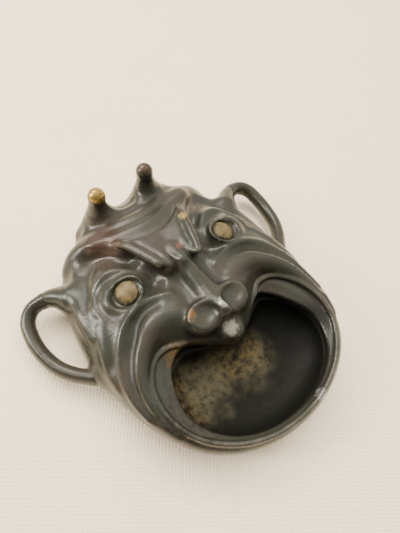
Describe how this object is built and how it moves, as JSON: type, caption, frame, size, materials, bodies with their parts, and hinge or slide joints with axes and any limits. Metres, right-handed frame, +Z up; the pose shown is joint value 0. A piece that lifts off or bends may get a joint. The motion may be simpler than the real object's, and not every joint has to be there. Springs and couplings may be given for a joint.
{
  "type": "cast bronze mask tray",
  "caption": "Small cast bronze dish in the form of a horned grotesque mask, its open mouth the dish, with two ear loops as handles.",
  "frame": {"origin": "on the table under the middle of the whole object's box, ear to ear and crown to chin", "axes": "+Z up out of the face, +Y towards the crown and horns, +X towards the ear on the right as the face is looked at"},
  "size_m": [0.1254, 0.1186, 0.0386],
  "materials": {
    "bronze_patina": "satin dark brown patina, rubbed on the high points",
    "dish_patina": "rough dark patina with bare brass patches",
    "eye_brass": "dull tarnished brass"
  },
  "bodies": {
    "root": {"mask_casting": "bronze_patina", "mouth_bowl": "dish_patina", "left_ear_loop": "bronze_patina", "right_ear_loop": "bronze_patina", "left_horn": "bronze_patina", "right_horn": "bronze_patina", "left_eye": "eye_brass", "right_eye": "eye_brass"}
  },
  "joints": []
}
